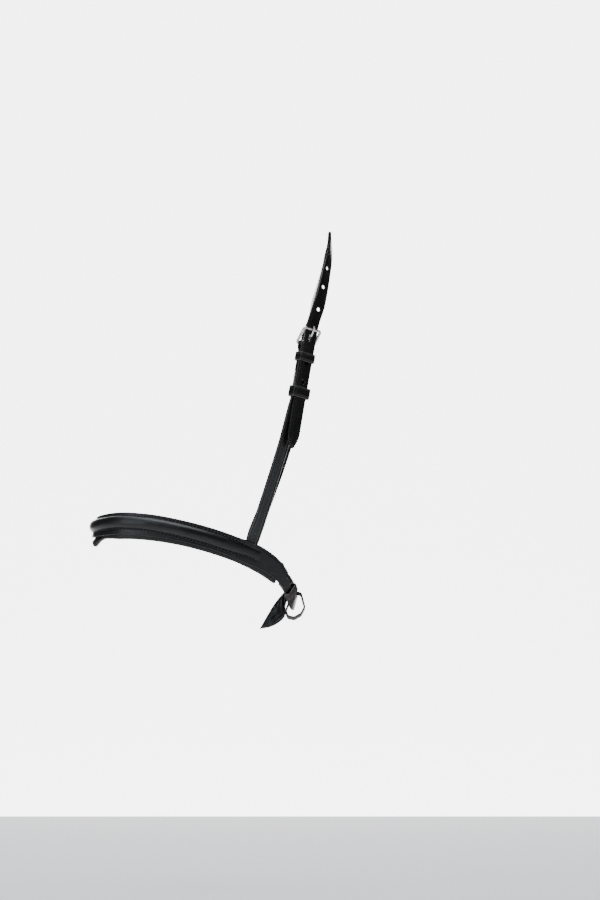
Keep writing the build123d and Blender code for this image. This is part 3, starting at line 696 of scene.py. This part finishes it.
cheekPlaces = seatTail(seatNear) + [seatNear, Vector((-71.8, -49.2, -294.6)), Vector((-59, -52.6, -254.6)),
                                    Vector((-46.7, -53.2, -214.6)), Vector((-36.7, -51.4, -177)),
                                    cheekPlace(0, -50, 2.8), cheekPlace(0, -25, 2.8), cheekPlace(0, 0, 2.8)]
cheekFacings = [seatNearOut] * 6 + [cheekOut * 0.16 + seatNearOut * 0.84, cheekOut * 0.9 + seatNearOut * 0.1]
cheekFacings += [cheekOut] * 5
seatWidth = strap["width"] * cheek["seatShare"]
cheekWidths = [seatWidth] * 5 + [strap["width"]] * 8
cheekThicks = [cheek["seatThick"]] * 5 + [strap["thick"]] * 8
cheekRun = runThrough(cheekPlaces, cheekFacings, cheekWidths, cheekThicks)
cheekEye = eyeStations(lambda up, out: cheekPlace(0, up, out), cheekUp, cheekOut, strap["room"], strap["thick"],
                       strap["width"], cheek["chape"], 2.9)
cheekStrap = ribbon("cheekStrap", cheekRun[:-1] + cheekEye, strapLeather)
cutWith(cheekStrap, [punch(cheekPlace(0, 1, 0), cheekOut, cheekUp, cheek["slot"], cheek["slotLength"])])
finishPiece(cheekStrap, "noseband", "black_leather", "cheek_strap")
print("cheek strap made")

# sliphead
crown = {"inner": 0.06, "thick": 1.6, "skive": 26}
crownDrop = crown["inner"] + crown["thick"]
billetStart = cheekPlace(strap["shift"], 22, strap["billetOut"])


def leanIn(depth, side):
    share = depth / -billetStart.z
    slope = -billetStart.z * math.sin(math.radians(6.6))
    return side * (-billetStart.y * share * share * (3 - 2 * share) + slope * (share ** 3 - share ** 2))


def facing(angle):
    return Vector((math.cos(math.radians(angle)), math.sin(math.radians(angle)), 0))


nearLeg = ((11, 1.05, -6), (21, 0.1, -15), (31.5, -1.5, -26), (42, -3.8, -36),
           (57.7, -7.0, -45), (76, -11.2, -52))
offLeg = ((11, -1.05, 174), (21, -3.0, 170), (31, -5.2, 172), (54, -11.2, 178), (76, -17.4, 180))
offLow = (((-20.6, 45.2, -91), 160), ((-22.6, 47.6, -110), 118), ((-27.6, 49.8, -140), 92),
          ((-33, 51.2, -171), 80),
          ((-40.9, 52, -203), 72), ((-52.4, 51.6, -240), 68), ((-65.2, 49.8, -277), 68))


def skived(depth):
    return crown["thick"] + (strap["thick"] - crown["thick"]) * ease(depth / crown["skive"])


ringMiddle = crown["inner"] + crown["thick"] / 2
offDown = Vector((seatDown.x, 0, seatDown.z))
offPlaces = [seatOff + offDown * (cheek["seatDepth"] * (5 - k) / 5) for k in range(5)] + [seatOff]
offPlaces += [Vector(place) for place, _ in reversed(offLow)]
offPlaces += [Vector((x, leanIn(depth, 1), -depth)) for depth, x, _ in reversed(offLeg)]
offPlaces += [Vector((-ringMiddle - 0.02, leanIn(crownDrop, 1), -crownDrop))]
offFacings = ([seatOffOut] * 6 + [facing(angle) for _, angle in reversed(offLow)]
              + [facing(angle) for _, _, angle in reversed(offLeg)])
offFacings += [facing(180)]
offWidths = [seatWidth] * 5 + [strap["width"]] * 2 + [strap["billet"]] * (len(offPlaces) - 7)
offThicks = ([cheek["seatThick"]] * 5 + [strap["thick"]] * 8
             + [skived(depth) for depth, _, _ in reversed(offLeg)] + [crown["thick"]])
crownRun = []
for turn in range(165, 0, -15):
    a = math.radians(turn)
    crownRun.append((Vector((ringMiddle * math.cos(a), 0, ringMiddle * math.sin(a) - crownDrop)),
                     Vector((math.sin(a), 0, -math.cos(a))),
                     Vector((math.cos(a), 0, math.sin(a))), strap["billet"],
                     crown["thick"]))
nearPlaces = [Vector((ringMiddle + 0.02, leanIn(crownDrop, -1), -crownDrop))]
nearPlaces += [Vector((x, leanIn(depth, -1), -depth)) for depth, x, _ in nearLeg] + [billetStart]
nearFacings = [facing(0)] + [facing(angle) for _, _, angle in nearLeg] + [cheekOut]
nearThicks = [crown["thick"]] + [skived(depth) for depth, _, _ in nearLeg] + [strap["thick"]]
billetLow = strap["tip"] - strap["tail"]
nearPlaces += [cheekPlace(strap["shift"] + sway, level, strap["billetOut"])
               for level, sway in ((0, 0), (-40, 0.2), (-65, 0.6), (billetLow, 1.2))]
nearFacings += [cheekOut] * 4
nearThicks += [strap["thick"]] * 4
nearRun = runThrough(nearPlaces, nearFacings, [strap["billet"]] * len(nearPlaces), nearThicks)
tipShares = [0.12, 0.25, 0.4, 0.55, 0.68, 0.79, 0.88, 0.94, 0.975, 0.992]
tipRun = []
for share in tipShares:
    width = strap["billet"] * max(0.08, (1 - share ** 1.9) ** 0.75)
    tipAside = strap["shift"] + strap["sway"] + strap["tipSway"] * share
    tipAt = cheekPlace(tipAside, billetLow - strap["tip"] * share, strap["billetOut"])
    tipRun.append((tipAt, -cheekUp,
                   cheekOut, width, strap["thick"] * (1 if share < 0.9 else 0.92)))
offRun = runThrough(offPlaces, offFacings, offWidths, offThicks)
sliphead = ribbon("sliphead", offRun + crownRun + nearRun + tipRun, strapLeather)
punches = [punch(cheekPlace(0, holes["used"], 5), cheekOut, cheekUp, holes["slotWide"], holes["slotLong"], 5)]
for level in (holes["next"], holes["last"]):
    holeAt = cheekPlace(strap["shift"], level, strap["billetOut"] + 3)
    punches.append(punch(holeAt, cheekOut, cheekUp, holes["wide"], holes["wide"], 4.2))
for x, depth, angle in ((-3.0, 38, -32), (-7.2, 57.7, -45), (-12.2, 81, -53)):
    rimHighlightAndHoleAim = facing(angle) * 0.3 + Vector((0, -0.7, 0))
    punches.append(punch(Vector((x, leanIn(depth, -1), -depth)), rimHighlightAndHoleAim, Vector((0, 0, 1)),
                         holes["open"], holes["open"], 8))
cutWith(sliphead, punches)
finishPiece(sliphead, "noseband", "black_leather", "sliphead_strap")
print("sliphead made")


# keepers
def keeperLoop(name, origin, across, along, out, start, length, wall, wide, high, room, material):
    # a closed leather loop round straps; wide and high are ranges across them
    middle = origin + across * ((wide[0] + wide[1]) / 2) + out * ((high[0] + high[1]) / 2)
    middle += along * (start + length / 2)
    halfWide = (wide[1] - wide[0]) / 2 + room + wall / 2
    halfHigh = (high[1] - high[0]) / 2 + room + wall / 2
    bend = wall / 2 + 0.6
    corners = ((1, 1, 0), (-1, 1, 90), (-1, -1, 180), (1, -1, 270))
    stations = []
    for k, (x, y, first) in enumerate(corners):
        for turn in range(0, 91, 18):
            a = math.radians(first + turn)
            outward = across * math.cos(a) + out * math.sin(a)
            heading = out * math.cos(a) - across * math.sin(a)
            at = middle + across * (x * (halfWide - bend)) + out * (y * (halfHigh - bend)) + outward * bend
            stations.append((at, heading, outward, length, wall))
        sideways = x != corners[(k + 1) % 4][0]
        run = (halfWide if sideways else halfHigh) - bend
        for share in (0.25, 0.5, 0.75):
            bow = 0.25 * math.sin(math.pi * share) if sideways and y > 0 else 0
            stations.append((at + heading * (2 * run * share) + outward * bow, heading, outward, length, wall))
    return ribbon(name, stations, material, closed=True, crease=1.5, depth=0.3, edge=0.6)


stackFront = 6.9
fixedKeeper = keeperLoop("cheekFixedKeeper", heelBar, cheekAcross, cheekUp, cheekOut, -17.5, 9.0, 1.6,
                         (-6.5, 8.5), (-1.2, stackFront), 0.25, strapLeather)
finishPiece(fixedKeeper, "noseband", "black_leather", "cheek_fixed_keeper")
runnerKeeper = keeperLoop("cheekRunnerKeeper", heelBar, cheekAcross, cheekUp, cheekOut, -54.5, 11.0, 2.0,
                          (-6.5, 8.5), (1.5, stackFront), 1.0, strapLeather)
finishPiece(runnerKeeper, "runner", "black_leather", "cheek_runner_keeper")


def jawOffset(angle):
    return -4.6 + 8.9 * ease((angle + 52) / 108)


def jawLevel(along):
    return (heightOn(jawTopEdge, along) + heightOn(jawLowEdge, along)) / 2


def jawPlace(angle):
    along, across = ovalPoint(angle, jawOffset(angle))
    return bandCentre + bandVector(along, across, jawLevel(along))


def bandKeeper(name, at, node):
    angle = ovalAngle(at)
    there, here = jawPlace(angle - 2), jawPlace(angle + 2)
    out = bandOut(angle)
    run = unit((there - here) - out * (there - here).dot(out))
    along, across = ovalPoint(angle, 0)
    origin = bandCentre + bandVector(along, across, jawLevel(at))
    keeper = keeperLoop(name, origin, run.cross(out), run, out, -4, 8, 1.5,
                        (-6.5, 6.5), (1.9, 5.6), 0.4, jawLeather)
    finishPiece(keeper, "noseband", "black_leather", node)


bandKeeper("tailKeeperFront", 44, "tail_keeper_front")
bandKeeper("tailKeeperBack", 27, "tail_keeper_back")
edgeRun = unit(jawPlace(-21) - jawPlace(-33))
edgeOut = bandOut(-27)
edgeOut = unit(edgeOut - edgeRun * edgeOut.dot(edgeRun))
edgeKeeper = keeperLoop("jawEdgeKeeper", jawPlace(-27), edgeRun.cross(edgeOut), edgeRun, edgeOut, -4, 8, 1.6,
                        (-6.5, 6.5), (-1.3, 1.3), 0.6, jawLeather)
finishPiece(edgeKeeper, "noseband", "black_leather", "jaw_edge_keeper")
print("keepers made")

# jaw strap and its chape
jawFirst = -ovalAngle(90.5)
jawLast = ovalAngle(18)


def jawRing(angle):
    along = ovalPoint(angle, 0)[0]
    low, top = heightOn(jawLowEdge, along), heightOn(jawTopEdge, along)
    middle = (low + top) / 2
    tipShare = 1 - min(1.0, (jawLast - angle) / 6)
    width = (top - low) * max(0.3, (1 - tipShare ** 2) ** 0.5)
    profile = wholeProfile(strapProfile(width, 2.6, 1.9, 0.25))
    return [bandPlace(angle, jawOffset(angle) + y, middle + x) for x, y in profile]


jawTurns = [jawFirst + (jawLast - jawFirst) * k / 110 for k in range(111)]
jawStrap = loft("jawStrap", [jawRing(angle) for angle in jawTurns], material=jawLeather)
offOrigin = Vector((-65.892, 41.411, -336.148))
offAcross = Vector((0.53236, -0.1635, 0.83058))
offUp = Vector((0.71929, -0.42995, -0.54567))
offOut = Vector((0.44633, 0.88792, -0.11128))


def offPlace(across, up, out):
    return offOrigin + offAcross * across + offUp * up + offOut * out


jawCuts = [punch(offPlace(0, 7.6, 8), offOut, offUp, 3.8, 7.4, 7)]
for angle in (ovalAngle(42), 34.0):
    jawCuts.append(punch(bandPlace(angle, 2, jawLevel(ovalPoint(angle)[0])), bandOut(angle), upAxis,
                         holes["wide"], holes["wide"], 7))
cutWith(jawStrap, jawCuts)
finishPiece(jawStrap, "noseband", "black_leather", "jaw_strap")
chapeFront = [(offPlace(0, -14 + 14 * share, 2.875), offUp, offOut, 13, 2) for share in (0, 0.3, 0.6, 0.9)]
jawChape = ribbon("jawChape", chapeFront + eyeStations(lambda up, out: offPlace(0, up, out),
                                                       offUp, offOut, 1.875,
                                                       2.0, 13, 10, 0), jawLeather)
cutWith(jawChape, [punch(offPlace(0, 1, 0), offOut, offUp, cheek["slot"], 12.75)])
finishPiece(jawChape, "noseband", "black_leather", "jaw_chape")
print("jaw strap made")

# chin pad and its loop
chin = {"thick": 5.0, "loopWall": 1.6, "loopWidth": 6.5, "wrinkle": 0.75}
chinPivot = Vector((-35.887, 0, -376.682))
loopAcross = Vector((0.93874, -0.17231, -0.29846))
loopDown = Vector((-0.34463, -0.46937, -0.81297))
loopCorners = ((-6.2, -12.8), (3.6, -12.6), (12.6, 1.4), (11.6, 10.6), (6.4, 17.6), (-0.8, 18.4), (-5.6, 12.4))


def roundedLoop(corners, radius, inset):
    # places and headings round a polygon with rounded corners, on its middle line
    made = []
    count = len(corners)
    for k in range(count):
        before, here, after = (Vector((*corners[(k + s) % count], 0)) for s in (-1, 0, 1))
        into, away = (here - before).normalized(), (after - here).normalized()
        bend = into.angle(away)
        reach = radius * math.tan(bend / 2)
        start = here - into * reach
        normal = Vector((into.y, -into.x, 0))
        middle = start - normal * radius
        for step in range(7):
            turn = Matrix.Rotation(bend * step / 6, 3, "Z")
            out = turn @ normal
            made.append((middle + out * (radius - inset), turn @ into, out))
    return made


loopStations = []
for place, heading, out in roundedLoop(loopCorners, 3.6, chin["loopWall"] / 2):
    loopStations.append((chinPivot + loopAcross * place.x + loopDown * place.y,
                         loopAcross * heading.x + loopDown * heading.y, loopAcross * out.x + loopDown * out.y,
                         chin["loopWidth"], chin["loopWall"]))
chinLoop = ribbon("chinLoop", loopStations, jawLeather, closed=True, crease=1.2, depth=0.2, edge=0.6)
finishPiece(chinLoop, "chin_pad", "black_leather", "chin_pad_loop")

leafTop = chinPivot + Vector((-6.6, 0, 11.4))
leafDown = Vector((-0.62, 0, -0.785)).normalized()
leafNose = Vector((-0.785, 0, 0.62)).normalized()
leafOuter = ((0, 2.8), (10, 3.2), (20, 3.0), (28, 2.0), (47.5, -0.8))
leafInner = ((0, -2.4), (6, -4.4), (13, -7.4), (20.5, -12.8), (29.8, -12.4), (38.4, -8.6), (47.5, -0.8))


def leafRing(at):
    nose, jaw = heightOn(leafOuter, at), heightOn(leafInner, at)
    near = min(1.0, (at + 0.3) / 2.5, (47.5 - at) / 5)
    body = math.sqrt(max(0.02, 1 - (1 - near) ** 2))
    middle, half = (nose + jaw) / 2, max(0.25, (nose - jaw) / 2)
    ring = []
    for k in range(48):
        turn = 2 * math.pi * k / 48
        x, y = math.cos(turn), math.sin(turn)
        across = half * math.copysign(abs(x) ** 0.8, x)
        fat = chin["thick"] / 2 * body * math.copysign(abs(y) ** 0.72, y)
        seam = 0.5 * math.exp(-((half - abs(across) - 1.6) / 0.5) ** 2)
        bend = 1.7 * math.sin(at * 0.23 + 0.6)
        ripple = math.sin((across - bend) * 1.55 + at * 0.12) + 0.5 * math.sin(at * 0.62 + across * 0.5)
        fat -= (math.copysign(1, y) * (seam + chin["wrinkle"] * (1 - ripple) * 0.5)
                * body * min(1.0, abs(y) * 1.6))
        ring.append(leafTop + leafDown * at + leafNose * (middle + across) - Vector((0, 1, 0)) * fat)
    return ring


leafSpots = [0, 0.25, 0.7, 1.3, 2] + [2.6 + 40.9 * k / 60 for k in range(61)] + [44.5, 45.5, 46.3, 46.9, 47.3]
chinPad = loft("chinPad", [leafRing(at) for at in leafSpots], material=padLeather)
finishPiece(chinPad, "chin_pad", "lining_leather", "chin_pad_cover", "chin_pad_filling")
print("chin pad made")

# kept parts get their materials
kept = {"nose_base_strap": liningLeather, "cheek_buckle_frame": metalShader.material,
        "cheek_buckle_tongue": metalShader.material, "jaw_buckle_frame": metalShader.material,
        "jaw_buckle_tongue": metalShader.material}
for node, material in kept.items():
    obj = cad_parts[node]
    obj.data.materials.clear()
    obj.data.materials.append(material)

# studio
studio = {"world": 0.1, "key": 13, "fill": 3, "top": 40, "wall": 10, "glow": 4.6, "strip": 26, "pale": (0.86, 0.86, 0.87),
          "tint": (0.88, 0.94, 1.0),
          "wallWidth": 2.2, "floorWidth": 14, "bend": 1.4, "bendFrom": 1.2}
floorLevel = cadLow.z - view["floorDrop"] * mm


def stageSheet(name, width, path, glow):
    # a pale sheet that runs along the floor and up behind
    bm = bmesh.new()
    bmesh.ops.create_grid(bm, x_segments=2, y_segments=len(path) - 1, size=1)
    bm.verts.ensure_lookup_table()
    for vertex in bm.verts:
        row, column = divmod(vertex.index, 3)
        vertex.co = Vector(((column - 1) * width / 2, path[row][0], path[row][1]))
    obj = addMesh(name, bm)
    shader = Shader(name)
    tone = shader.noise(shader.place(), 0.6, 1.0)
    pale = studio["pale"]
    shader.set(Base_Color=shader.mix(tone, (*pale, 1), (*[c + 0.02 for c in pale], 1)))
    shader.surface.inputs["Roughness"].default_value = 0.9
    shader.surface.inputs["Emission Color"].default_value = (1, 1, 1, 1)
    shader.surface.inputs["Emission Strength"].default_value = glow
    obj.data.materials.append(shader.material)
    return obj


bend, bendFrom = studio["bend"], studio["bendFrom"]
sweepPath = [(bendFrom, floorLevel)]
for turn in range(10, 91, 10):
    a = math.radians(turn)
    sweepPath.append((bendFrom + bend * math.sin(a), floorLevel + bend * (1 - math.cos(a))))
sweepPath.append((bendFrom + bend, 7))
stageSheet("studioWall", studio["wallWidth"], sweepPath, studio["glow"])
floorPath = [(-9, floorLevel), (-4, floorLevel), (bendFrom, floorLevel)]
stageSheet("studioFloor", studio["floorWidth"], floorPath, 0.0)


def softLight(name, place, aim, size, power):
    light = bpy.data.lights.new(name, "AREA")
    light.shape = "RECTANGLE"
    light.size, light.size_y = size
    light.energy = power
    light.color = studio["tint"]
    obj = bpy.data.objects.new(name, light)
    bpy.context.scene.collection.objects.link(obj)
    obj.location = place
    obj.rotation_euler = (Vector(aim) - Vector(place)).to_track_quat("-Z", "Y").to_euler()
    return obj


middle = (cadLow + cadHigh) / 2
softLight("keyLight", (-1.5, -2.0, 1.5), middle, (1.4, 1.0), studio["key"])
softLight("fillLight", (1.9, -1.8, 0.2), middle, (0.8, 1.6), studio["fill"])
softLight("topLight", (-0.2, -0.5, 2.0), middle, (1.6, 1.0), studio["top"])
softLight("wallLight", (0, 0.4, 2.4), (0, 2.4, -0.2), (3.5, 0.6), studio["wall"])
softLight("sideStrip", (-2.5, -2.3, -0.1), middle, (0.45, 2.4), studio["strip"])
world = bpy.data.worlds.new("studio")
bpy.context.scene.world = world
world.use_nodes = True
world.node_tree.nodes["Background"].inputs[0].default_value = (1, 1, 1, 1)
world.node_tree.nodes["Background"].inputs[1].default_value = studio["world"]
print("studio made")
